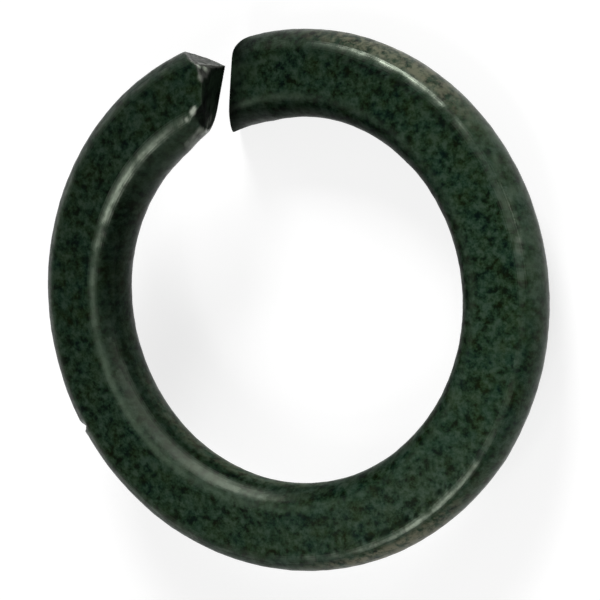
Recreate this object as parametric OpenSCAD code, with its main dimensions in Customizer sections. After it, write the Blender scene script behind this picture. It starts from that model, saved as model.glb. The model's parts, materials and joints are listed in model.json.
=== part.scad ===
// Spring lock washer: one bar of flattened wire, coiled into a single left-hand turn and sheared
// through, so that the two ends stand one above the other. The long sides of the bar are rounded,
// it is thicker beside the hole than outside, and both of its sheared faces slant.
//
// The hole's axis is Z, and the origin is on it, halfway up. The shear's plane faces along X,
// so the split lies just left of +Y, with the upper end on its left and the lower end on its right.

/* [Ring] */
// Diameter of the hole, which clears a 16 mm bolt
bore_d = 16.3; // [12:0.1:22]
// Width of the bar, from the hole to the outside
bar_w = 3.95; // [3.35:0.1:4.95]
// Clear height that the upper end springs above the lower one
end_clear = 0.25; // [0.2:0.05:2]

/* [Section of the bar] */
// Thickness where the flat faces end beside the hole
inner_t = 2.95; // [2.4:0.05:3.6]
// Thickness where the flat faces end at the outside
outer_t = 2.25; // [1.8:0.05:3]
// How far the rounded inner side swells past the flat faces
inner_bulge = 1; // [0.5:0.05:1.1]
// How far the rounded outer side swells past the flat faces
outer_bulge = 0.6; // [0.3:0.05:0.8]
// Length of the rounding on each side of the four long corners
corner_l = 0.28; // [0.1:0.02:0.4]
// Depth of the band that the coiling arbor pressed flat along the hole
land_depth = 0.14; // [0.06:0.02:0.2]

/* [Split] */
// Angle of the shear from the line through the hole's axis, seen along the axis
shear_skew = 18.5; // [5:0.5:30]
// How far the lower end reaches in under the upper one, from the middle of one face to the other's
end_overlap = 0.5; // [0:0.05:1]

/* [Upper end] */
// Slant of the upper end's sheared face from the axis
upper_lean = 11; // [2:1:20]
// Length of the outer corner's bevel along the ring
outer_bevel_l = 1.3; // [0.6:0.1:2.4]
// Depth of the outer corner's bevel along the sheared face
outer_bevel_w = 1.15; // [0.4:0.05:1.5]
// Length of the inner corner's bevel along the ring
inner_bevel_l = 0.8; // [0.4:0.1:2]
// Depth of the inner corner's bevel along the sheared face
inner_bevel_w = 0.45; // [0.2:0.05:0.8]
// Length of the chip at the tip, inwards along the sheared face's upper edge
chip_l = 0.75; // [0.3:0.05:1]
// Length of the chip back along the outer bevel's upper edge
chip_back = 0.25; // [0.1:0.05:0.6]
// Depth of the chip down the tip
chip_drop = 1; // [0.3:0.05:1.2]

/* [Lower end] */
// Slant of the lower end's sheared face from the axis
lower_lean = 21; // [2:1:30]
// Radius that the shear dragged round the outer corner
drag_r = 0.9; // [0.3:0.1:1.2]
// How far the straightened inner side stands off the hole's wall at the sheared face
straight_off = 0.4; // [0.1:0.05:0.6]

/* [Nick] */
// Place of the nick in the outer edge, as an angle round the ring
nick_angle = 209.5; // [150:0.5:330]
// Width of the nick along the edge
nick_w = 0.45; // [0.2:0.05:1]
// Depth of the nick
nick_depth = 0.2; // [0.1:0.05:0.5]

/* [Smoothness] */
// Sections along the turn
stations = 72; // [48:12:108]
// Steps of arc on the inner side of the section, above the middle
inner_steps = 5; // [3:1:7]
// Steps of arc on the outer side of the section, above the middle
outer_steps = 4; // [3:1:6]
// Steps of rounding on each long corner
corner_steps = 2; // [2:1:3]
// Sides of the round cutters
round_sides = 180; // [60:12:240]

/* [Hidden] */

turn = 360;
slack = 1;
past = 0.05;
chip_spread = 1.8;

bore_r = bore_d / 2;
outer_r = bore_r + bar_w;
mid_r = bore_r + bar_w / 2;
rise = inner_t + end_clear;
cutter_h = 2 * (rise + inner_t);

// Where each sheared face crosses the middle of the bar, and its slope
upper_x = -mid_r * sin(shear_skew);
lower_x = upper_x - end_overlap;
split_angle = plane_angle(upper_x, mid_r);

// Radius of the arc that bulges by sag over a chord
function arc_r(chord, sag) = (chord * chord / 4 + sag * sag) / (2 * sag);

// Half of the angle that the same arc covers
function arc_half(chord, sag) = asin(min(1, chord / 2 / arc_r(chord, sag)));

// Points that round a corner, from one neighbour to the other
function rounding(from, corner, to) = [
    for (i = [0:corner_steps])
        let (s = i / corner_steps)
        (1 - s) * (1 - s) * from + 2 * s * (1 - s) * corner + s * s * to
];

// The section, as distances outwards and upwards from the bar's middle
inner_sag = inner_bulge + land_depth;
inner_side_r = arc_r(inner_t, inner_sag);
outer_side_r = arc_r(outer_t, outer_bulge);
inner_side_x = -bar_w / 2 - land_depth + inner_side_r;
outer_side_x = bar_w / 2 - outer_side_r;
inner_corner = [-bar_w / 2 + inner_bulge, inner_t / 2];
outer_corner = [bar_w / 2 - outer_bulge, outer_t / 2];
flat_dir = (inner_corner - outer_corner) / norm(inner_corner - outer_corner);

// Points of the outer arc from the crest to its corner, and of the inner arc from its corner back
inner_end = arc_half(inner_t, inner_sag) - corner_l / inner_side_r * 180 / PI;
outer_end = arc_half(outer_t, outer_bulge) - corner_l / outer_side_r * 180 / PI;
function inner_point(a) = [inner_side_x - inner_side_r * cos(a), inner_side_r * sin(a)];
function outer_point(a) = [outer_side_x + outer_side_r * cos(a), outer_side_r * sin(a)];

upper_half = concat(
    [for (i = [0:outer_steps - 1]) outer_point(outer_end * i / outer_steps)],
    rounding(outer_point(outer_end), outer_corner, outer_corner + corner_l * flat_dir),
    rounding(inner_corner - corner_l * flat_dir, inner_corner, inner_point(inner_end)),
    [for (i = [inner_steps - 1:-1:0]) inner_point(inner_end * i / inner_steps)]
);
lower_half = [for (i = [len(upper_half) - 2:-1:1]) [upper_half[i].x, -upper_half[i].y]];
section = concat(upper_half, lower_half);

// Angle at which a circle of radius r crosses the plane at distance x from the axis
function plane_angle(x, r) = 90 - asin(x / r);

// Height of the bar's middle at an angle round the ring: it falls from the upper end
function coil_z(a) = rise * (0.5 - (a - split_angle) / turn);

// A point of the section at share t of the way from the upper end to the lower one. Each end's
// points lie in its sheared face, and those between them turn from one face to the other.
function coil_point(p, t) =
    let (
        r = mid_r + p.x,
        start = plane_angle(upper_x + p.y * tan(upper_lean), r),
        end = turn + plane_angle(lower_x + p.y * tan(lower_lean), r),
        a = start + t * (end - start)
    )
    [r * cos(a), r * sin(a), p.y + coil_z(a)];

// Y of a circle of radius r, at x
function circle_y(r, x) = sqrt(r * r - x * x);

// Height of the flat face above the bar's middle, at distance u outwards from it
function flat_v(u) = inner_corner.y + (u - inner_corner.x) * flat_dir.y / flat_dir.x;

// Where the outer bevel meets the sheared face, and its slope, seen along the axis
outer_y = circle_y(outer_r, upper_x) - outer_bevel_w;
outer_slope = (circle_y(outer_r, upper_x - outer_bevel_l) - outer_y) / outer_bevel_l;

// The coiled bar
module coil() {
    n = len(section);
    points = [for (k = [0:stations]) for (p = section) coil_point(p, k / stations)];
    sides = [
        for (k = [0:stations - 1]) for (i = [0:n - 1])
            let (j = (i + 1) % n)
            [k * n + i, k * n + j, (k + 1) * n + j, (k + 1) * n + i]
    ];
    upper_face = [[for (i = [n - 1:-1:0]) i]];
    lower_face = [[for (i = [0:n - 1]) stations * n + i]];
    polyhedron(points, concat(sides, upper_face, lower_face), convexity = 6);
}

// The hole's true wall, which leaves a narrow flat band on the bulged inner side
module bore() {
    translate([0, 0, -cutter_h / 2]) cylinder(h = cutter_h, r = bore_r, $fn = round_sides);
}

// An upright cutter with the outline of its children, slanted as a sheared face at height z, whose
// X is measured from that face
module slanted(x, z, lean) {
    translate([x, 0, z])
        rotate([0, lean, 0])
            translate([0, 0, -cutter_h / 2])
                linear_extrude(cutter_h) children();
}

// Bevels of the upper end's outer and inner corners
module upper_bevels() {
    inner_y = circle_y(bore_r, upper_x) + inner_bevel_w;
    inner_slope = (inner_y - circle_y(bore_r, upper_x - inner_bevel_l)) / inner_bevel_l;
    outer_reach = outer_bevel_l + slack;
    inner_reach = inner_bevel_l + slack;
    slanted(upper_x, rise / 2, upper_lean) {
        polygon([
            [past, outer_y - past * outer_slope],
            [past, outer_r + slack],
            [-outer_reach, outer_r + slack],
            [-outer_reach, outer_y + outer_reach * outer_slope]
        ]);
        polygon([
            [past, inner_y + past * inner_slope],
            [-inner_reach, inner_y - inner_reach * inner_slope],
            [-inner_reach, inner_y - bar_w],
            [past, inner_y - bar_w]
        ]);
    }
}

// Chip off the upper end's tip, where the flat face, the outer bevel and the sheared face meet: a
// four-sided block whose first side is the chip's plane
module upper_chip() {
    v = flat_v(norm([upper_x, outer_y]) - mid_r);
    tip = [upper_x + v * tan(upper_lean), outer_y, rise / 2 + v];
    marks = [
        tip + chip_back * [-1, outer_slope, 0],
        tip + chip_l * [0, -1, 0],
        tip + chip_drop * [-tan(upper_lean), 0, -1]
    ];
    middle = (marks[0] + marks[1] + marks[2]) / 3;
    points = [for (p = concat(marks, [tip])) middle + chip_spread * (p - middle)];
    polyhedron(points, [[0, 1, 2], [0, 3, 1], [1, 3, 2], [2, 3, 0]]);
}

// Rounding of the lower end's outer corner: a block over the corner, up to where the round
// meets the outside, less the round that stays
module lower_rounding() {
    x = lower_x + drag_r;
    y = circle_y(outer_r - drag_r, x);
    meets_x = drag_r * (1 + x / (outer_r - drag_r));
    slanted(lower_x, -rise / 2, lower_lean) difference() {
        translate([-past, y]) square([meets_x + past, outer_r + slack - y]);
        translate([drag_r, y]) circle(r = drag_r, $fn = round_sides);
    }
}

// Straight stretch of the lower end's inner side: a block over it, below the upper end, whose edge
// touches the hole's wall and leaves it towards the sheared face
module lower_straight() {
    tip_r = bore_r + straight_off;
    tip_angle = plane_angle(lower_x, tip_r);
    touch_angle = tip_angle - acos(bore_r / tip_r);
    reach = sqrt(tip_r * tip_r - bore_r * bore_r);
    width = reach + inner_t / 2 * tan(lower_lean);
    rotate(touch_angle) translate([0, 0, -cutter_h / 2]) cube([bore_r, width, cutter_h / 2]);
}

// Nick in the outer edge: a three-sided groove up the wall
module nick() {
    rotate(nick_angle) translate([outer_r - nick_depth, 0, -cutter_h / 2])
        linear_extrude(cutter_h)
            polygon([
                [0, 0],
                [nick_depth + slack, nick_w / 2 * (nick_depth + slack) / nick_depth],
                [nick_depth + slack, -nick_w / 2 * (nick_depth + slack) / nick_depth]
            ]);
}

module split_ring() {
    color([0.1, 0.15, 0.12]) difference() {
        coil();
        bore();
        upper_bevels();
        upper_chip();
        lower_rounding();
        lower_straight();
        nick();
    }
}

split_ring();
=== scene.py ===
"""Looks of the spring lock washer: a finely modelled coil of blackened wire, its finish, studio and camera.

Lengths are in metres. A place in the bar's section is (u, v), outwards and upwards from its middle. A share
of the turn runs from the upper end (0) to the lower end (1).
"""
import json
import math
from types import SimpleNamespace

import bpy
import numpy as np
from mathutils import Matrix, Vector, noise


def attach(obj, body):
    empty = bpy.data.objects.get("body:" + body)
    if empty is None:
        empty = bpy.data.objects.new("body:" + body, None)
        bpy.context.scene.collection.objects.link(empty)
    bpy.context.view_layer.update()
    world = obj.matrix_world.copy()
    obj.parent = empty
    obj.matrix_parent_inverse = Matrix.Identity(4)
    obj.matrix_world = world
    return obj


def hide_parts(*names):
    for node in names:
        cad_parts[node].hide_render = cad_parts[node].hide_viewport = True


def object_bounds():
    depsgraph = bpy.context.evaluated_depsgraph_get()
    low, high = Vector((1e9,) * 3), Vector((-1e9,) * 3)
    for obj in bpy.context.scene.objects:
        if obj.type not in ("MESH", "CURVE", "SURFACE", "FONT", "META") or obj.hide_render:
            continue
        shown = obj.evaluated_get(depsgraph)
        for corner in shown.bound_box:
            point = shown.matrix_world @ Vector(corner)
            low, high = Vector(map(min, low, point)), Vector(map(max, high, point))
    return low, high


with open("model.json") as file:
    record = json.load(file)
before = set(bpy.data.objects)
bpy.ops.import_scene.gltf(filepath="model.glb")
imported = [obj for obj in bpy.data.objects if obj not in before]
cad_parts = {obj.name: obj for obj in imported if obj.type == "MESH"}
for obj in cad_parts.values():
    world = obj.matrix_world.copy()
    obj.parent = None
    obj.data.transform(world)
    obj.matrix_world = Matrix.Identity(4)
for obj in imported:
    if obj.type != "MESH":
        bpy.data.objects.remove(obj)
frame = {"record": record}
cad_low, cad_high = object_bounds()

MM = 0.001
bolt_hole = frame["record"]["mounts"][0]

# The ring, from the frame where it has the size
bore_r = bolt_hole["dims"]["r_mm"] * MM
outer_r = (cad_high[0] - cad_low[0]) / 2
floor_z = cad_low[2]
bar_w = outer_r - bore_r
mid_r = (outer_r + bore_r) / 2
turn_l = 2 * math.pi * mid_r
inner_t = 2.95 * MM
outer_t = 2.25 * MM
inner_bulge = 1.0 * MM
outer_bulge = 0.62 * MM
inner_corner_l = 0.36 * MM
outer_corner_l = 0.2 * MM
end_clear = 0.25 * MM
rise = inner_t + end_clear
bulge_u = inner_bulge - bar_w / 2
inner_corner = np.array([bulge_u, inner_t / 2])
outer_corner = np.array([bar_w / 2 - outer_bulge, outer_t / 2])

# The split: X of each sheared face at its top and bottom, beside the hole and outside
split_x = -mid_r * math.sin(math.radians(19))
split_angle = math.pi / 2 - math.asin(split_x / mid_r)
upper_face = {"top": (-2.98 * MM, -2.98 * MM), "bottom": (-4.18 * MM, -2.72 * MM)}
lower_face = {"top": (-3.43 * MM, -3.25 * MM), "bottom": (-4.7 * MM, -3.8 * MM)}
face_edge_r = 0.05 * MM

# Roughness as layers of noise: height, size, octaves and seed of each. The sheared faces have torn ridges
# and finer marks drawn out along the axis, and both set in over a share of the way in from the rim.
side_waves = ((0.012 * MM, 2.5 * MM, 2, 1), (0.012 * MM, 0.45 * MM, 3, 2))
wave_start = 0.5 * MM
cut_ridges = ((0.03 * MM, 0.35 * MM, 3, 0), (0.012 * MM, 0.1 * MM, 2, 0))
face_ridges = ((0.05 * MM, 0.5 * MM, 4, 7),)
face_marks = ((0.012 * MM, 0.12 * MM, 1, 9),)
mark_squash = 0.25
ridge_start = 0.25
seed_shift = np.array((17.3, 5.1, 9.7))
fractal_fade = 1.0
fractal_step = 2.0

# The upper end's outer bevel: two points in plan at its top and at its bottom, and those heights
outer_bevel = {
    "top": ((-3.81 * MM, 11.02 * MM), (-3.06 * MM, 10.52 * MM)), "top_z": 2.75 * MM,
    "bottom": ((-4.62 * MM, 11.11 * MM), (-3.16 * MM, 10.52 * MM)), "bottom_z": 0.5 * MM,
    "seed": 3,
}

# Facets at the upper end's tip and inner corner: three points of each one's plane
tip_facet = {
    "points": (
        (-3.29 * MM, 10.65 * MM, 2.75 * MM),
        (-2.97 * MM, 9.79 * MM, 2.88 * MM),
        (-3.1 * MM, 10.48 * MM, 1.78 * MM)),
    "seed": 11,
}
inner_facet = {
    "points": (
        (-2.94 * MM, 9.04 * MM, 3.02 * MM),
        (-3.34 * MM, 8.42 * MM, 2.8 * MM),
        (-3.2 * MM, 7.9 * MM, 1.8 * MM)),
    "seed": 5,
}

# How far from its points a facet cuts, how far back the upper end's cuts reach, how softly they are
# rounded, and how far below a cut's surface points still move
facet_reach = 1.5 * MM
upper_end_l = 4 * MM
cut_softness = 0.02 * MM
cut_margin = 6 * cut_softness

# Radius of the lower end's dragged corner, and how far out its sheared face is measured for it
drag_r = 0.85 * MM
drag_place = 0.85

# Inner side near each end: how far back the bulge is flattened, by what share, and how steeply
upper_flat = {"length": 1.3 * MM, "share": 0.25, "power": 1.2}
lower_flat = {"length": 2.4 * MM, "share": 0.29, "power": 1.1}

# The nick in the outer edge: its two sides as shares of half its width, the lip beside it, and where it
# begins outwards and upwards
nick_angle = math.radians(209.5)
nick_w = 0.45 * MM
nick_depth = 0.2 * MM
nick_sides = (0.6, 1.4)
nick_lip = {"place": 1.0, "width": 0.35, "height": 0.22}
nick_soft_u = 0.6 * outer_bulge
nick_low_v = -0.6 * outer_t
nick_soft_v = 0.3 * MM

# Fineness of the mesh, and how far the closer steps reach from the ends, their rims and the nick
section_step = 0.1 * MM
bar_step = 0.115 * MM
fine_step = 0.035 * MM
end_step = 1.6 * fine_step
rim_step = fine_step / 2
end_zone = 1.7 * MM
rim_zone = 0.15 * MM
nick_zone = 0.35 * MM
trial_places = 20000
step_blur = 40
curve_points = 60
cap_loops = 16

# Rubbed long corners and rims of the sheared faces: how far the wear reaches, and how strong it is
corner_wear = ((outer_corner, 0.17 * MM), (inner_corner, 0.24 * MM))
rim_wear_reach = 0.1 * MM
rim_wear = 0.6

# Painted highlights: bright spots painted as glints on the upper end's bare chips and on rubbed spots of the
# outer corner: place, radius and share
painted_glint_spots = (
    ((-3.26 * MM, 10.66 * MM, 2.6 * MM), 0.14 * MM, 0.9),
    ((-3.1 * MM, 10.51 * MM, 2.25 * MM), 0.17 * MM, 0.8),
    ((-3.03 * MM, 10.19 * MM, 2.85 * MM), 0.18 * MM, 0.4),
    ((-3.44 * MM, 8.6 * MM, 3.02 * MM), 0.15 * MM, 1.0),
    ((-3.35 * MM, 8.75 * MM, 3.04 * MM), 0.12 * MM, 1.0),
    ((-3.77 * MM, 8.25 * MM, 2.98 * MM), 0.11 * MM, 0.8),
    ((-3.76 * MM, 8.2 * MM, 1.12 * MM), 0.26 * MM, 0.4),
    ((-3.6 * MM, 8.0 * MM, 1.65 * MM), 0.26 * MM, 0.35),
    ((11.28 * MM, 2.95 * MM, 0.36 * MM), 0.17 * MM, 0.24),
    ((11.21 * MM, 3.35 * MM, 0.4 * MM), 0.15 * MM, 0.12),
    ((11.29 * MM, 2.5 * MM, 0.3 * MM), 0.16 * MM, 0.14),
)

# Strip of the upper end's inner side that the shear rubbed bare, and the share of painted highlight on it
bare_strip = {
    "length": 1.5 * MM, "top": 0.85 * MM, "top_soft": 0.15 * MM,
    "bottom": -1.1 * MM, "bottom_soft": 0.3 * MM, "painted_glint": 0.42,
}

# Depth of cut at which the bevel is all bare, and at which the inner facet is all dark. The facet is
# dark from an X on, past a soft border.
bare_depth = 0.04 * MM
dark_depth = 0.03 * MM
dark_from_x = -3.47 * MM
dark_soft = 0.08 * MM

# Where the inner and the outer side begin, for their finish
bulge_soft = 0.05 * MM
outside_u = bar_w / 2 - 0.8 * outer_bulge
outside_soft = 0.2 * MM

# Painted shade: band along the inner side's upper half, painted darkest where the hole shades it, fading in
# after the upper end
shade_v = 0.9 * MM
shade_reach = 0.64 * MM
shade_soft = 0.4 * MM
shade_from = 1.8 * MM
shade_fade = 6 * MM

# How far the soot at the lower end reaches
stain_reach = 0.75 * MM

# Heights above which the inner side is burnished, and below which it is brownish
burnished_v = 0.85 * MM
burnished_soft = 0.25 * MM
brown_v = 0.7 * MM
brown_soft = 0.4 * MM

# Dark pits in the upper face, in rows beside the outer corner, broken up where they are this dark
pits_u = bar_w / 2 - outer_bulge - 0.33 * MM
pits_w = 0.2 * MM
pits_least = 0.1

# Parts of the finish by their places round the ring: turn and reach in degrees, and share
burnished_at = ((228, 40, 1.0),)
satin_at = ((168, 58, 1.0),)
rubbed_at = ((190, 75, 1.0),)
sheen_at = ((10, 80, 1.0),)
brown_at = ((245, 40, 0.2),)
# Paler green on the outer side where it faces the right lamp: a patchy painted sheen
painted_sheen_at = ((24, 28, 0.34),)
# Scuffs on the outer wall, placed where it faces the back and front lamps, so that they also paint a sheen
# there
scuffs_and_sheen_at = ((66, 20, 0.65), (294, 18, 1.0))
pits_at = ((63, 19, 1.0), (302, 20, 1.0))
bright_inside_at = ((140, 24, 1.0),)
bright_outside_at = ((65, 25, 0.52), (300, 27, 0.28), (17, 14, 1.0))

# Noise that breaks parts of the finish up: base, gain, size, octaves, seed, lowest and highest
edge_patches = (1, 1.3, 0.7 * MM, 3, 6, 0.3, 1.7)
glint_streak_patches = (1, 1.6, 0.3 * MM, 2, 4, 0.1, 2)
pit_patches = (0, 14, 0.22 * MM, 2, 8, 0, 1)
painted_sheen_patches = (0.9, 3, 0.7 * MM, 3, 12, 0, 2)
painted_sheen_least = 0.01

# Share of rubbed green on the inner corners where it is least, on the outer ones and added near the lower
# end, and of green painted as light on the inner side near the upper end, with the distances from those ends
# at which it is gone
rub_inner_least = 0.27
rub_outer = 0.2
rub_lower = 0.4
rub_lower_reach = 6 * MM
upper_side_light = 0.35
upper_side_light_reach = 6.8 * MM
rub_fade = 4 * MM

# How much light each finish reflects head-on, the levels that the faces are sorted into, and where the
# gloss of the rubbed edges sets in by their wear
face_gloss = 0.008
inner_gloss = 0.001
satin_gloss = 0.006
burnished_gloss = 0.048
soot_gloss = 0.002
outer_gloss = 0.003
sheen_gloss = 0.013
worn_gloss = 0.012
rubbed_gloss = 0.03
bright_gloss = 0.12
gloss_levels = (0.0, 0.001, 0.0025, 0.0045, 0.0075, 0.012, 0.02, 0.032, 0.048, 0.07, 0.095, 0.12)
edge_gloss_from = 0.25
edge_gloss_soft = 0.35
stain_gloss_share = 0.8
steel_ior = 2.0
specular_tint = (0.88, 1, 0.8)

# Textures of the finish: scale per metre, detail and roughness
speck_grain = (2400, 4, 0.72)
cloud_grain = (1100, 3, 0.6)
blotch_grain = (260, 2, 0.6)
patch_grain = (1500, 4, 0.65)
scuff_and_sheen_grain = (2300, 4, 0.7)
scrape_grain = (2200, 3, 0.6)
relief_grain = (2500, 4, 0.6)

# Colours of the finish, and the ramps that share them out over the textures
black = (0.0, 0.0, 0.0)
white = (1, 1, 1)
oxide_ramp = ((0.38, black), (0.5, (0.0105, 0.0258, 0.0122)), (0.64, (0.032, 0.053, 0.036)))
tint_ramp = ((0.36, (0.0, 0.024, 0.019)), (0.64, (0.014, 0.026, 0.001)))
soot_ramp = ((0.42, black), (0.6, (0.009, 0.017, 0.01)))
patch_ramp = ((0.36, black), (0.66, white))
scuff_and_sheen_ramp = ((0.4, black), (0.58, white))
scrape_ramp = ((0.3, black), (0.55, white))
# Rubbed green, which is also painted on as light on parts of the inner and outer sides
rubbed_and_lit_colour = (0.075, 0.11, 0.075)
# Scuff colour, which also paints a sheen where the outer wall faces the lamps
scuffed_and_lit_colour = (0.155, 0.156, 0.105)
bare_colour = (0.055, 0.057, 0.051)
# Colour of the painted highlights on chips and on the bare strip
painted_glint_colour = (0.36, 0.4, 0.33)
tint_share = 0.36
# Share by which the painted shade darkens the oxide in the hole
shade_share = 0.4
patch_share = 0.65
rubbed_and_lit_share = 0.8
soot_share = 0.9

# Painted light: the oxide is painted paler towards one side of the ring, by a share at its outside
lit_side_turn = math.radians(313)
lit_side_share = 0.38

# Roughness of each finish, and the bump of the fine grain
oxide_roughness = ((0.3, (0.4, 0.4, 0.4)), (0.7, (0.27, 0.27, 0.27)))
burnished_roughness = (0.54, 0.54, 0.54)
worn_roughness = (0.29, 0.29, 0.29)
sooty_roughness = (0.7, 0.7, 0.7)
speck_relief = 0.6
bump_strength = 0.25
bump_h = 0.02 * MM

# Width and height of a place in the layout of shader nodes
column_w = 220
row_h = 260

# The studio: a round floor with a low rim, even light all round, and soft square lamps, each by its
# name, turn and height in degrees, size and power in watts
floor_r = 3.0
floor_rim = 0.6
floor_sides = 64
floor_colour = (0.35, 0.35, 0.35)
floor_glow = 0.75
world_light = 0.17
lamp_distance = 1.0
lamps = (
    ("lamp_back", 93, 28, 0.34, 9.5),
    ("lamp_front", 276, 45, 0.4, 3),
    ("lamp_top", 243, 65, 0.22, 0.8),
    ("lamp_right", 28, 26, 0.22, 1.5),
)

# Camera, from the photograph: tilt off the hole's axis, turn round it, distance and framing
view_tilt = math.radians(28.776)
view_turn = math.radians(10.515)
view_distance = 304.6 * MM
photo_px = 600
washer_px = 542.04
origin_px = (-2.87, -1.16)
sensor_w = 36
clip_near = 0.01
clip_far = 20


def blend(a, b, share):
    """From a to b by a share."""
    return a + (b - a) * share


def rising(x, start, length):
    """From 0 at the start to 1 one length past it. A length below 0 runs the other way."""
    return np.clip((x - start) / length, 0, 1)


def smooth_noise(points, size, octaves, seed):
    """Noise about 0 at the points, with features of about the given size."""
    shift = Vector(seed * seed_shift)
    places = (Vector(p / size) + shift for p in points)
    if octaves == 1:
        return np.array([noise.noise(spot) for spot in places])
    return np.array([noise.fractal(spot, fractal_fade, fractal_step, octaves) for spot in places])


def relief(points, layers, seed=0):
    """Heights of the summed layers of noise at the points."""
    return sum(
        height * smooth_noise(points, size, octaves, seed + own) for height, size, octaves, own in layers)


def broken_up(values, points, patches, least=0):
    """Values above the least one made patchy by noise."""
    base, gain, size, octaves, seed, low, high = patches
    there = values > least
    patchy = values.copy()
    patchy[there] *= np.clip(base + gain * smooth_noise(points[there], size, octaves, seed), low, high)
    return patchy


def near_turns(turned, places):
    """Sum of the shares of the places round the ring at angles in degrees. Each fades out past its reach."""
    total = 0
    for turn, reach, share in places:
        off = np.abs((turned - turn + 180) % 360 - 180)
        total = total + share * np.exp(-(off / reach) ** 4)
    return total


def arc_r(chord, sag):
    """Radius of the arc that bulges by sag over a chord."""
    return (chord * chord / 4 + sag * sag) / (2 * sag)


def rounding(a, corner, b):
    """Points that round a corner from a to b."""
    s = np.linspace(0, 1, curve_points)[:, None]
    return (1 - s) ** 2 * a + 2 * s * (1 - s) * corner + s * s * b


def bar_section():
    """The bar's outline as evenly spaced places, from the outer crest up and round."""
    inner_side_r = arc_r(inner_t, inner_bulge)
    outer_side_r = arc_r(outer_t, outer_bulge)
    inner_middle = inner_side_r - bar_w / 2
    outer_middle = bar_w / 2 - outer_side_r
    inner_end = math.asin(inner_t / 2 / inner_side_r) - inner_corner_l / inner_side_r
    outer_end = math.asin(outer_t / 2 / outer_side_r) - outer_corner_l / outer_side_r
    flat = (inner_corner - outer_corner) / np.linalg.norm(inner_corner - outer_corner)

    def inner_point(a):
        return np.stack([inner_middle - inner_side_r * np.cos(a), inner_side_r * np.sin(a)], -1)

    def outer_point(a):
        return np.stack([outer_middle + outer_side_r * np.cos(a), outer_side_r * np.sin(a)], -1)

    half = np.concatenate([
        outer_point(np.linspace(0, outer_end, curve_points)),
        rounding(outer_point(outer_end), outer_corner, outer_corner + outer_corner_l * flat),
        rounding(inner_corner - inner_corner_l * flat, inner_corner, inner_point(inner_end)),
        inner_point(np.linspace(inner_end, 0, curve_points)),
    ])
    closed = np.concatenate([half, half[-2:0:-1] * (1, -1), half[:1]])
    length = np.concatenate([[0], np.cumsum(np.linalg.norm(np.diff(closed, axis=0), axis=1))])
    count = int(round(length[-1] / section_step))
    want = np.linspace(0, length[-1], count, endpoint=False)
    return np.stack([np.interp(want, length, closed[:, k]) for k in (0, 1)], 1)


def outward(section):
    """The outline's normals, pointing out of the bar."""
    along = np.roll(section, -1, axis=0) - np.roll(section, 1, axis=0)
    normal = np.stack([along[:, 1], -along[:, 0]], 1)
    return normal / np.linalg.norm(normal, axis=1, keepdims=True)


def station_shares():
    """Shares of the turn at which the mesh has a section, set closer at both ends and at the nick."""
    places = np.linspace(0, turn_l, trial_places)
    near_end = np.minimum(places, turn_l - places)
    near_nick = np.abs(places - (nick_angle - split_angle) * mid_r)
    step = np.where(near_end < end_zone, end_step, bar_step)
    step = np.where(near_end < rim_zone, rim_step, step)
    step = np.where(near_nick < nick_zone, fine_step, step)
    window = np.ones(2 * step_blur + 1) / (2 * step_blur + 1)
    density = 1 / np.convolve(np.pad(step, step_blur, mode="edge"), window, mode="valid")
    total = np.concatenate([[0], np.cumsum((density[1:] + density[:-1]) / 2 * np.diff(places))])
    count = int(round(total[-1]))
    return np.interp(np.linspace(0, total[-1], count), total, places) / turn_l


def plane_angle(x, r):
    """Angle at which circles of radius r cross the plane at distance x from the axis."""
    return math.pi / 2 - np.arcsin(x / r)


def thickness(outwards):
    """Thickness between the flat faces at a share of the way out from the hole."""
    return inner_t + (outer_t - inner_t) * outwards


def face_edges(face, outwards):
    """X of a sheared face's top and bottom edges at a share of the way out from the hole."""
    return blend(*face["top"], outwards), blend(*face["bottom"], outwards)


def face_x(face, u, v):
    """X of a sheared face at places of the section."""
    outwards = np.clip(u / bar_w + 0.5, 0, 1)
    top, bottom = face_edges(face, outwards)
    return blend(bottom, top, v / thickness(outwards) + 0.5)


def flattened(u, share):
    """Section places u with the inner bulge drawn in towards both ends."""
    kept = np.ones_like(u)
    for flat, from_end in ((upper_flat, share), (lower_flat, 1 - share)):
        near = np.clip(1 - from_end * 2 * math.pi * bore_r / flat["length"], 0, 1)
        kept = kept - flat["share"] * near ** flat["power"]
    return np.where(u < bulge_u, bulge_u + (u - bulge_u) * kept, u)


def place(u, v, share):
    """Points of the coil for places of the section at a share of the turn, and their angles.

    Each end lies in its sheared face."""
    u = flattened(u, share)
    r = mid_r + u
    start = plane_angle(face_x(upper_face, u, v), r)
    end = 2 * math.pi + plane_angle(face_x(lower_face, u, v), r)
    a = blend(start, end, share)
    z = v + rise * (0.5 - (a - split_angle) / (2 * math.pi))
    return np.stack([r * np.cos(a), r * np.sin(a), z], -1), a


def soft_clamp(d, softness):
    """Signed distances with those above 0 brought down to it, rounded over about the softness."""
    return -softness * np.logaddexp(0, -d / softness)


def cut(p, near, d, normal, seed):
    """Brings the near points back along the normal where their distances d are past a rough cut.

    Returns how far each point moved."""
    past = d[near] + relief(p[near], cut_ridges, seed)
    moved = soft_clamp(past, cut_softness) - past
    p[near] += moved[:, None] * normal[near]
    deep = np.zeros(len(p))
    deep[near] = -moved
    return deep


def cut_bevel(p, upper, bevel):
    """Cuts the upper end along a bevel's line in plan, which swings from its bottom to its top."""
    upwards = ((p[:, 2] - bevel["bottom_z"]) / (bevel["top_z"] - bevel["bottom_z"]))[:, None]
    ends = zip(bevel["bottom"], bevel["top"])
    a, b = (blend(np.array(bottom), np.array(top), upwards) for bottom, top in ends)
    along = (b - a) / np.linalg.norm(b - a, axis=1, keepdims=True)
    normal = np.stack([-along[:, 1], along[:, 0], np.zeros(len(p))], 1)
    d = ((p[:, :2] - a) * normal[:, :2]).sum(1)
    return cut(p, upper & (d > -cut_margin), d, normal, bevel["seed"])


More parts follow.
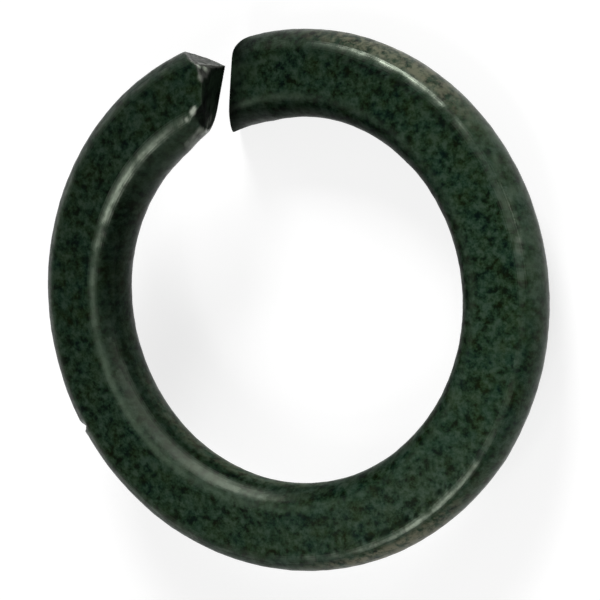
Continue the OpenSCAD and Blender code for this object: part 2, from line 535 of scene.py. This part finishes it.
def cut_facet(p, upper, facet):
    """Cuts the upper end along a facet's plane, near its points."""
    a, b, c = (np.array(point) for point in facet["points"])
    normal = np.cross(b - a, c - a)
    normal *= np.sign(normal[0]) / np.linalg.norm(normal)
    d = (p - a) @ normal
    near = upper & (np.linalg.norm(p - (a + b + c) / 3, axis=1) < facet_reach)
    return cut(p, near & (d > -cut_margin), d, np.tile(normal, (len(p), 1)), facet["seed"])


def shape_upper_end(p, along):
    """Cuts the upper end's bevel and its two facets.

    Returns how deep the cuts of the outer corner and that of the inner one went at each point."""
    upper = along < upper_end_l
    inner = cut_facet(p, upper, inner_facet)
    bevel = cut_bevel(p, upper, outer_bevel)
    return np.maximum(bevel, cut_facet(p, upper, tip_facet)), inner


def round_lower_corner(p):
    """Brings the lower end's outer corner in to the round that the shear dragged."""
    top, bottom = face_edges(lower_face, drag_place)
    x = (top + bottom) / 2 + drag_r
    centre = np.array([x, math.sqrt((outer_r - drag_r) ** 2 - x ** 2)])
    lean = (top - bottom) / thickness(drag_place)
    shift = np.stack([(p[:, 2] + rise / 2) * lean, np.zeros(len(p))], 1)
    plan = p[:, :2] - shift - centre
    tangent = centre / np.linalg.norm(centre)
    left = plan[:, 0] * tangent[1] - plan[:, 1] * tangent[0] < 0
    far = np.linalg.norm(plan, axis=1)
    corner = (p[:, 2] < 0) & left & (plan[:, 1] > 0) & (far > drag_r) & (np.abs(plan[:, 0]) < 2 * drag_r)
    plan[corner] *= (drag_r / far[corner])[:, None]
    p[corner, :2] = plan[corner] + centre + shift[corner]


def nick_cut(a, u, v):
    """Depth of the nick at angles a and places of the section, with the small lip raised beside it."""
    s = (a - nick_angle) * outer_r / (nick_w / 2)
    groove = np.clip(1 - np.abs(np.where(s > 0, s / nick_sides[0], s / nick_sides[1])), 0, 1)
    lip = nick_lip["height"] * np.exp(-((s - nick_lip["place"]) / nick_lip["width"]) ** 2)
    wall = rising(u, outer_corner[0], nick_soft_u)
    above = rising(v, nick_low_v, nick_soft_v)
    return nick_depth * wall * above * (groove - lip)


def bar_sides(section, share):
    """Points of the bar's sides, waved, with soft rims at both ends and the nick cut in."""
    sections = len(share) // len(section)
    u, v = np.tile(section.T, sections)
    normal_u, normal_v = np.tile(outward(section).T, sections)
    from_end = np.minimum(share, 1 - share) * turn_l
    past = np.clip(face_edge_r - from_end, 0, None)
    inset = face_edge_r - np.sqrt(np.clip(face_edge_r ** 2 - past ** 2, 0, None))
    points, angle = place(u, v, share)
    wave = relief(points, side_waves) * rising(from_end, 0, wave_start)
    depth = inset - wave + nick_cut(angle, u, v)
    return place(u - normal_u * depth, v - normal_v * depth, share)[0]


def side_faces(n, sections):
    """Faces of the bar's sides, between neighbouring sections of n points each."""
    k = np.arange(n)
    after = (k + 1) % n
    first = n * np.arange(sections - 1)[:, None]
    return np.stack([first + k, first + after, first + n + after, first + n + k], -1).reshape(-1, 4).tolist()


def sheared_face(section, end, rim, count):
    """Points and faces of the torn face at one end of the turn (0 or 1), in loops from its rim inwards.

    The rim holds the numbers of the bar's last points there, and count is that of the first new point."""
    n = len(section)
    edge = section - outward(section) * face_edge_r
    outwards = 1 if end else -1
    points, faces = [], []
    for loop in range(1, cap_loops):
        inwards = 1 - loop / cap_loops
        q, _ = place(edge[:, 0] * inwards, edge[:, 1] * inwards, end)
        rough = relief(q, face_ridges, end) + relief(q * (1, 1, mark_squash), face_marks, end)
        q[:, 0] += rough * min(1, (1 - inwards) / ridge_start) * outwards
        points.append(q)
        new = np.arange(count, count + n)
        faces += np.stack([rim, np.roll(rim, -1), np.roll(new, -1), new], 1)[:, ::outwards].tolist()
        rim = new
        count += n
    points.append(place(np.zeros(1), np.zeros(1), end)[0])
    faces += np.stack([rim, np.roll(rim, -1), np.full(n, count)], 1)[:, ::outwards].tolist()
    return np.concatenate(points), faces


def coil():
    """The coil's points and faces, and its surface, which holds what the finish of each point depends on.

    The functions below that work out the finish take this surface as s."""
    section = bar_section()
    shares = station_shares()
    n = len(section)
    share = np.repeat(shares, n)
    sides = bar_sides(section, share)
    faces = side_faces(n, len(shares))
    upper, upper_faces = sheared_face(section, 0, np.arange(n), len(sides))
    last_rim = np.arange(len(sides) - n, len(sides))
    lower, lower_faces = sheared_face(section, 1, last_rim, len(sides) + len(upper))
    points = np.concatenate([sides, upper, lower])
    along = turn_l * np.concatenate([share, np.zeros(len(upper)), np.ones(len(lower))])
    bevelled, faceted = shape_upper_end(points, along)
    round_lower_corner(points)
    side = np.arange(len(points)) < len(sides)
    u, v = np.zeros((2, len(points)))
    u[side], v[side] = np.tile(section.T, len(shares))
    turned = np.degrees(np.arctan2(points[:, 1], points[:, 0]))
    return points, faces + upper_faces + lower_faces, SimpleNamespace(
        points=points, along=along, left=turn_l - along, turned=turned, side=side, u=u, v=v,
        bevelled=bevelled, faceted=faceted, bulge=side * (u < bulge_u + bulge_soft),
        outside=side * rising(u, outside_u, outside_soft))


def wear_of(s, stain):
    """How rubbed each point is: most on the four long corners and round the sheared faces' rims."""
    wear = rim_wear * np.exp(-(np.minimum(s.along, s.left) / rim_wear_reach) ** 2)
    for corner, reach in corner_wear:
        for flip in (1, -1):
            near = np.hypot(s.u - corner[0], s.v - flip * corner[1])
            wear = np.maximum(wear, np.exp(-(near / reach) ** 2))
    return wear * s.side * np.where(s.u > 0, 1 - stain, 1)


def bare_strip_of(s):
    """How much of the strip that the shear rubbed bare is at each point."""
    strip = rising(s.along, bare_strip["length"], -bare_strip["length"]) ** 0.5
    strip = strip * s.side * (s.u < bulge_u)
    strip = strip * rising(s.v, bare_strip["top"], -bare_strip["top_soft"])
    return strip * rising(s.v, bare_strip["bottom"], bare_strip["bottom_soft"])


def pits_of(s):
    """How dark the pits beside the outer corner are at each point."""
    row = s.side * (s.u > 0) * (s.v > 0) * np.exp(-((s.u - pits_u) / pits_w) ** 2)
    return broken_up(row * near_turns(s.turned, pits_at), s.points, pit_patches, pits_least)


def painted_glint_of(points):
    """How much painted highlight each point has, in the spots painted as glints."""
    painted_glint = np.zeros(len(points))
    for spot, radius, share in painted_glint_spots:
        far = np.linalg.norm(points - spot, axis=1) / radius
        painted_glint = np.maximum(painted_glint, share * np.exp(-far ** 4))
    return painted_glint


def gloss_of(s, wear, burnish, sooty):
    """How much light each point reflects head-on."""
    bright_in = np.clip(near_turns(s.turned, bright_inside_at), 0, 1)
    bright_out = np.clip(near_turns(s.turned, bright_outside_at), 0, 1)
    inner_edge = blend(worn_gloss, rubbed_gloss, near_turns(s.turned, rubbed_at))
    edge = np.where(
        s.u < 0, blend(inner_edge, bright_gloss, bright_in), blend(rubbed_gloss, bright_gloss, bright_out))
    edge = broken_up(edge, s.points, edge_patches)
    inner = blend(inner_gloss, satin_gloss, near_turns(s.turned, satin_at))
    gloss = np.where(s.bulge, inner, face_gloss)
    gloss = blend(gloss, blend(outer_gloss, sheen_gloss, near_turns(s.turned, sheen_at)), s.outside)
    gloss = blend(gloss, burnished_gloss, burnish)
    gloss = blend(gloss, edge, rising(wear, edge_gloss_from, edge_gloss_soft))
    return blend(gloss, soot_gloss, sooty)


def rub_and_light_of(s, wear):
    """How much of the rubbed green shows at each point, with green also painted as light near the upper end
    and as a sheen outside.
    """
    inner = blend(rub_inner_least, 1, near_turns(s.turned, rubbed_at))
    rub_and_light = wear ** 2 * np.where(s.u < 0, inner, rub_outer)
    rub_and_light = rub_and_light + rub_lower * wear ** 2 * (s.u < 0) * rising(s.left, rub_lower_reach, -rub_fade)
    rub_and_light = np.maximum(rub_and_light, upper_side_light * s.bulge * (s.v > 0) * rising(s.along, upper_side_light_reach, -rub_fade))
    painted_sheen = s.outside * near_turns(s.turned, painted_sheen_at)
    return np.maximum(rub_and_light, broken_up(painted_sheen, s.points, painted_sheen_patches, painted_sheen_least))


def finish_of(s):
    """What the material reads at each point, and its gloss, by name."""
    stain = np.exp(-(s.left / stain_reach) ** 2)
    wear = wear_of(s, stain)
    stain = np.maximum(stain, pits_of(s))
    facet = rising(s.faceted, 0, dark_depth) * rising(s.points[:, 0], dark_from_x, dark_soft)
    dark = np.maximum(~s.side, facet)
    strip = bare_strip_of(s) * (1 - dark)
    glint_streak = broken_up(bare_strip["painted_glint"] * strip, s.points, glint_streak_patches)
    burnish = s.bulge * rising(s.v, burnished_v, burnished_soft) * near_turns(s.turned, burnished_at)
    brown = s.bulge * rising(s.v, brown_v, -brown_soft) * near_turns(s.turned, brown_at)
    # Painted shade: a band of the inner side painted darker where the hole shades it
    band = rising(np.abs(s.v - shade_v), shade_reach, -shade_soft)
    return {
        "rub_and_light": rub_and_light_of(s, wear),
        "scuff_and_sheen": np.maximum(s.outside * near_turns(s.turned, scuffs_and_sheen_at), brown),
        "gloss": gloss_of(s, wear, burnish, np.maximum(dark, stain * stain_gloss_share)),
        "burnish": burnish,
        "wear": wear,
        "bare": np.maximum(rising(s.bevelled, 0, bare_depth), strip),
        "cut": dark,
        "stain": stain,
        "painted_shade": s.bulge * band * rising(s.along, shade_from, shade_fade),
        "painted_glint": np.maximum(painted_glint_of(s.points), glint_streak),
    }


def coil_mesh():
    """The coil as one closed mesh that holds its finish."""
    points, faces, surface = coil()
    mesh = bpy.data.meshes.new("split_ring_fine")
    mesh.from_pydata(points.tolist(), [], faces)
    for name, values in finish_of(surface).items():
        layer = mesh.attributes.new(name, "FLOAT", "POINT")
        layer.data.foreach_set("value", np.asarray(values, dtype=np.float32))
    mesh.shade_smooth()
    mesh.validate()
    return mesh


class Graph:
    """The shader nodes of a material or a world, begun empty and laid out in columns from left to right."""

    def __init__(self, owner):
        owner.use_nodes = True
        self.tree = owner.node_tree
        self.tree.nodes.clear()
        self.columns = {}

    def node(self, kind, inputs=None, **settings):
        """A node with its settings made and its inputs linked or set, right of the nodes that feed it."""
        made = self.tree.nodes.new("ShaderNode" + kind)
        for name, value in settings.items():
            setattr(made, name, value)
        column = 0
        for key, value in (inputs or {}).items():
            socket = made.inputs[key]
            if isinstance(value, bpy.types.NodeSocket):
                self.tree.links.new(value, socket)
                column = max(column, self.columns[value.node.name] + 1)
            elif socket.type == "RGBA":
                socket.default_value = (*value, 1)
            else:
                socket.default_value = value
        row = list(self.columns.values()).count(column)
        made.location = (column * column_w, -row * row_h)
        self.columns[made.name] = column
        return made

    def ramp(self, source, stops):
        """Colours by where the source's value lies between the stops."""
        made = self.node("ValToRGB", {"Fac": source})
        elements = made.color_ramp.elements
        while len(elements) < len(stops):
            elements.new(0.5)
        for element, (where, colour) in zip(elements, stops):
            element.position = where
            element.color = (*colour, 1)
        return made.outputs["Color"]

    def attribute(self, name):
        """A value that the mesh holds."""
        return self.node("Attribute", attribute_name=name).outputs["Fac"]

    def maths(self, operation, a, b, clamp=False):
        """The result of an operation on two values."""
        return self.node("Math", {0: a, 1: b}, operation=operation, use_clamp=clamp).outputs[0]

    def mix(self, share, a, b):
        """From colour a to colour b by a share."""
        return self.node("Mix", {0: share, 6: a, 7: b}, data_type="RGBA").outputs[2]


def oxide_material(name, reflected):
    """Dark green-black oxide with a fine speckle, rubbed paler on its edges and bare grey where the shear
    broke it. It reflects the given share of the light that meets it head-on."""
    material = bpy.data.materials.new(name)
    graph = Graph(material)
    maths = graph.maths
    mix = graph.mix
    ramp = graph.ramp
    attribute = graph.attribute
    place_of = graph.node("TexCoord").outputs["Object"]

    def grain(texture):
        scale, detail, roughness = texture
        inputs = {"Vector": place_of, "Scale": scale, "Detail": detail, "Roughness": roughness}
        return graph.node("TexNoise", inputs).outputs["Fac"]

    # The oxide's own colour: speckled and tinted in blotches, with painted light to one side and painted
    # shade in the hole
    speck = grain(speck_grain)
    cloud = grain(cloud_grain)
    tinted = maths("MULTIPLY", grain(blotch_grain), tint_share)
    mottled = mix(tinted, ramp(speck, oxide_ramp), ramp(cloud, tint_ramp))
    lit_side_slope = (lit_side_share * math.cos(lit_side_turn) / outer_r, lit_side_share * math.sin(lit_side_turn) / outer_r, 0)
    lit_side = graph.node("VectorMath", {0: place_of, 1: lit_side_slope}, operation="DOT_PRODUCT")
    shaded = maths("MULTIPLY", attribute("painted_shade"), shade_share)
    level = maths("MULTIPLY", maths("ADD", lit_side.outputs["Value"], 1.0), maths("SUBTRACT", 1.0, shaded))
    body = graph.node("VectorMath", {0: mottled, "Scale": level}, operation="SCALE").outputs["Vector"]

    # Rubbed green with painted light, scuffs with a painted sheen, soot, bare metal and painted highlights
    # on chips, one over the other
    patch = ramp(grain(patch_grain), patch_ramp)
    patchy = maths("ADD", maths("MULTIPLY", patch, patch_share), 1 - patch_share)
    rubbed_and_lit = maths("MULTIPLY", maths("MULTIPLY", attribute("rub_and_light"), patchy), rubbed_and_lit_share, clamp=True)
    greened = mix(rubbed_and_lit, body, rubbed_and_lit_colour)
    scuffed_and_lit = maths("MULTIPLY", attribute("scuff_and_sheen"), ramp(grain(scuff_and_sheen_grain), scuff_and_sheen_ramp))
    worn = mix(scuffed_and_lit, greened, scuffed_and_lit_colour)
    sooty = maths("MAXIMUM", attribute("cut"), attribute("stain"))
    dark = mix(maths("MULTIPLY", sooty, soot_share), worn, ramp(cloud, soot_ramp))
    scraped = ramp(grain(scrape_grain), scrape_ramp)
    exposed = maths("MULTIPLY", attribute("bare"), scraped, clamp=True)
    grey = mix(exposed, dark, bare_colour)
    colour = mix(attribute("painted_glint"), grey, painted_glint_colour)

    # Roughness, and the bump of the fine grain
    rough = mix(attribute("burnish"), ramp(speck, oxide_roughness), burnished_roughness)
    rough = mix(maths("MULTIPLY", attribute("wear"), patchy), rough, worn_roughness)
    rough = mix(sooty, rough, sooty_roughness)
    height = maths("ADD", maths("MULTIPLY", speck, speck_relief), grain(relief_grain))
    bump = graph.node("Bump", {"Strength": bump_strength, "Distance": bump_h, "Height": height})

    shader = graph.node("BsdfPrincipled", {
        "Base Color": colour, "Metallic": 0.0, "Roughness": rough, "IOR": steel_ior,
        "Specular IOR Level": reflected / 2 / ((steel_ior - 1) / (steel_ior + 1)) ** 2,
        "Specular Tint": specular_tint, "Normal": bump.outputs["Normal"],
    })
    graph.node("OutputMaterial", {"Surface": shader.outputs["BSDF"]})
    return material


def split_ring():
    """The washer itself, in place of the CAD coil. Each face takes the material of its level of gloss."""
    mesh = coil_mesh()
    for k, level in enumerate(gloss_levels):
        mesh.materials.append(oxide_material(f"oxide_{k}", level))
    gloss = mesh.attributes["gloss"].data
    borders = [(a + b) / 2 for a, b in zip(gloss_levels, gloss_levels[1:])]
    for polygon in mesh.polygons:
        mean = sum(gloss[k].value for k in polygon.vertices) / len(polygon.vertices)
        polygon.material_index = sum(mean > border for border in borders)
    piece = bpy.data.objects.new("split_ring_fine", mesh)
    bpy.context.scene.collection.objects.link(piece)
    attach(piece, "root")
    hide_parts("split_ring")


def seen_directly(graph):
    """1 for camera, glossy and transmission rays, and 0 for others."""
    path = graph.node("LightPath").outputs
    camera_or_glossy = graph.maths("MAXIMUM", path["Is Camera Ray"], path["Is Glossy Ray"])
    return graph.maths("MAXIMUM", camera_or_glossy, path["Is Transmission Ray"])


def white_floor():
    """A wide round white floor with a low rim, which keeps the washer's shadow."""
    turns = [2 * math.pi * k / floor_sides for k in range(floor_sides)]
    points = [
        (floor_r * math.cos(t), floor_r * math.sin(t), floor_z + h) for h in (0, floor_rim) for t in turns]
    after = [(k + 1) % floor_sides for k in range(floor_sides)]
    walls = [(k, after[k], after[k] + floor_sides, k + floor_sides) for k in range(floor_sides)]
    mesh = bpy.data.meshes.new("floor")
    mesh.from_pydata(points, [], [list(range(floor_sides))] + walls)
    material = bpy.data.materials.new("floor_white")
    graph = Graph(material)
    diffuse = graph.node("BsdfDiffuse", {"Color": floor_colour})
    strength = graph.maths("MULTIPLY", seen_directly(graph), floor_glow)
    glow = graph.node("Emission", {"Color": white, "Strength": strength})
    both = graph.node("AddShader", {0: diffuse.outputs[0], 1: glow.outputs[0]})
    graph.node("OutputMaterial", {"Surface": both.outputs[0]})
    mesh.materials.append(material)
    floor = bpy.data.objects.new("floor", mesh)
    bpy.context.scene.collection.objects.link(floor)


def white_world():
    """Even white light from all round."""
    world = bpy.data.worlds.new("studio")
    bpy.context.scene.world = world
    graph = Graph(world)
    light = graph.node("Background", {"Color": white, "Strength": world_light})
    graph.node("OutputWorld", {"Surface": light.outputs[0]})


def lamp(name, turn, height, size, power):
    """A square soft lamp that looks at the washer from an angle round it and a height above the floor."""
    light = bpy.data.lights.new(name, "AREA")
    light.size = size
    light.energy = power
    thing = bpy.data.objects.new(name, light)
    t, h = math.radians(turn), math.radians(height)
    away = Vector((math.cos(h) * math.cos(t), math.cos(h) * math.sin(t), math.sin(h)))
    thing.location = away * lamp_distance
    thing.rotation_euler = away.to_track_quat("Z", "Y").to_euler()
    bpy.context.scene.collection.objects.link(thing)


def studio():
    """The floor, the world and the lamps."""
    white_floor()
    white_world()
    for values in lamps:
        lamp(*values)


def camera():
    """The camera at the photograph's angle and framing."""
    tilt_s, tilt_c = math.sin(view_tilt), math.cos(view_tilt)
    turn_s, turn_c = math.sin(view_turn), math.cos(view_turn)
    back = Vector((tilt_s * turn_c, tilt_s * turn_s, tilt_c))
    down_tilt = Vector((tilt_c * turn_c, tilt_c * turn_s, -tilt_s))
    across = Vector((-turn_s, turn_c, 0))
    right = turn_c * down_tilt - turn_s * across
    up = turn_s * down_tilt + turn_c * across
    px = 2 * outer_r / washer_px
    target = -px * (origin_px[0] * right + origin_px[1] * up)
    spot = target + back * view_distance
    data = bpy.data.cameras.new("camera")
    data.sensor_width = sensor_w
    data.lens = sensor_w * view_distance / (photo_px * px)
    data.clip_start = clip_near
    data.clip_end = clip_far
    thing = bpy.data.objects.new("camera", data)
    thing.matrix_world = Matrix((
        (right.x, up.x, back.x, spot.x), (right.y, up.y, back.y, spot.y),
        (right.z, up.z, back.z, spot.z), (0, 0, 0, 1)))
    bpy.context.scene.collection.objects.link(thing)
    bpy.context.scene.camera = thing


camera()
studio()
split_ring()
bpy.context.scene.view_settings.view_transform = "Standard"
